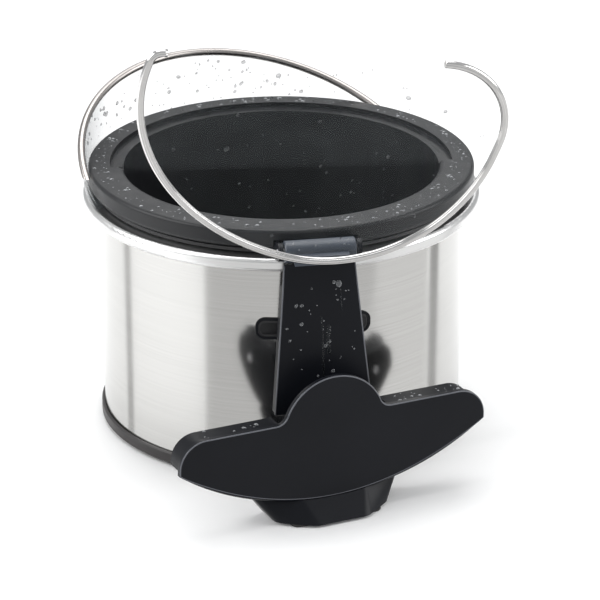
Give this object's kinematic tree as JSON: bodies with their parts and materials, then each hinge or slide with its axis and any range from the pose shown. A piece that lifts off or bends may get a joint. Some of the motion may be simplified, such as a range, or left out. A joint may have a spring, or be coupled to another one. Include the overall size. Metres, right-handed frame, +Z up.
{
  "type": "slow cooker",
  "caption": "Round slow cooker: steel housing, black crock, hinged glass lid with a steel ring, clear splash guard, and a drip column with a winged tray.",
  "frame": {"origin": "on the ground under the middle of the round housing", "axes": "+Z up, -Y towards the front, where the lid's hinge and the drip column are"},
  "size_m": [0.3021, 0.3864, 0.3663],
  "materials": {
    "brushed_steel": "brushed round the wall",
    "polished_steel": "polished",
    "aluminium": "dull rolled",
    "stoneware": "satin black glaze",
    "black_plastic": "satin, moulded",
    "blue_grey_plastic": "satin, moulded",
    "base_plastic": "matt, moulded",
    "clear_glass": "clear, polished",
    "rubber": "matt",
    "insulation": "felted mineral fibre",
    "heater": "mica and steel band",
    "brass": "plain",
    "screw_steel": "zinc plated"
  },
  "bodies": {
    "housing": {"outer_shell": "brushed_steel", "collar": "polished_steel", "heating_well": "aluminium", "heater_band": "heater", "insulation_wrap": "insulation", "base_ring": "base_plastic", "base_plate": "aluminium", "well_posts": "screw_steel", "base_screws": "screw_steel", "feet": "rubber", "thermostat": "aluminium", "thermal_fuse": "aluminium", "terminal_block": "base_plastic", "rear_fascia": "black_plastic", "power_inlet": "base_plastic", "inlet_pins": "brass", "heat_switch": "base_plastic", "slot_liner": "black_plastic", "slot_frame": "black_plastic", "drip_column": "black_plastic", "latch_tongue": "black_plastic"},
    "crock": {"crock": "stoneware", "rim_band": "black_plastic", "hinge_bracket": "black_plastic", "hinge_pin": "screw_steel", "rear_pane": "clear_glass"},
    "guard": {"guard_wall": "clear_glass", "guard_trim": "polished_steel"},
    "lid": {"lid_glass": "clear_glass", "lid_ring": "polished_steel", "lid_knuckle": "blue_grey_plastic"},
    "knob": {"control_knob": "black_plastic", "knob_shaft": "brass"},
    "tray": {"tray_cover": "black_plastic", "tray_housing": "black_plastic", "swivel_pin": "screw_steel", "tray_screws": "screw_steel", "tray_foot": "black_plastic", "tray_pad": "rubber"}
  },
  "joints": [
    {"name": "crock_lift", "type": "slide", "parent": "housing", "child": "crock", "axis": [0, 0, 1], "range_m": [0, 0.15]},
    {"name": "guard_turn", "type": "hinge", "parent": "crock", "child": "guard", "pos_m": [0, 0, 0.2], "axis": [0, 0, 1], "range_deg": [-45, 30]},
    {"name": "lid_hinge", "type": "hinge", "parent": "crock", "child": "lid", "pos_m": [0, -0.156, 0.1915], "axis": [1, 0, 0], "range_deg": [-100, 0]},
    {"name": "knob_turn", "type": "hinge", "parent": "housing", "child": "knob", "pos_m": [0, 0.141, 0.028], "axis": [0, 1, 0], "range_deg": [0, 150]},
    {"name": "tray_swivel", "type": "hinge", "parent": "housing", "child": "tray", "pos_m": [0, -0.1865, 0], "axis": [0, 0, 1], "range_deg": [-30, 10]}
  ]
}
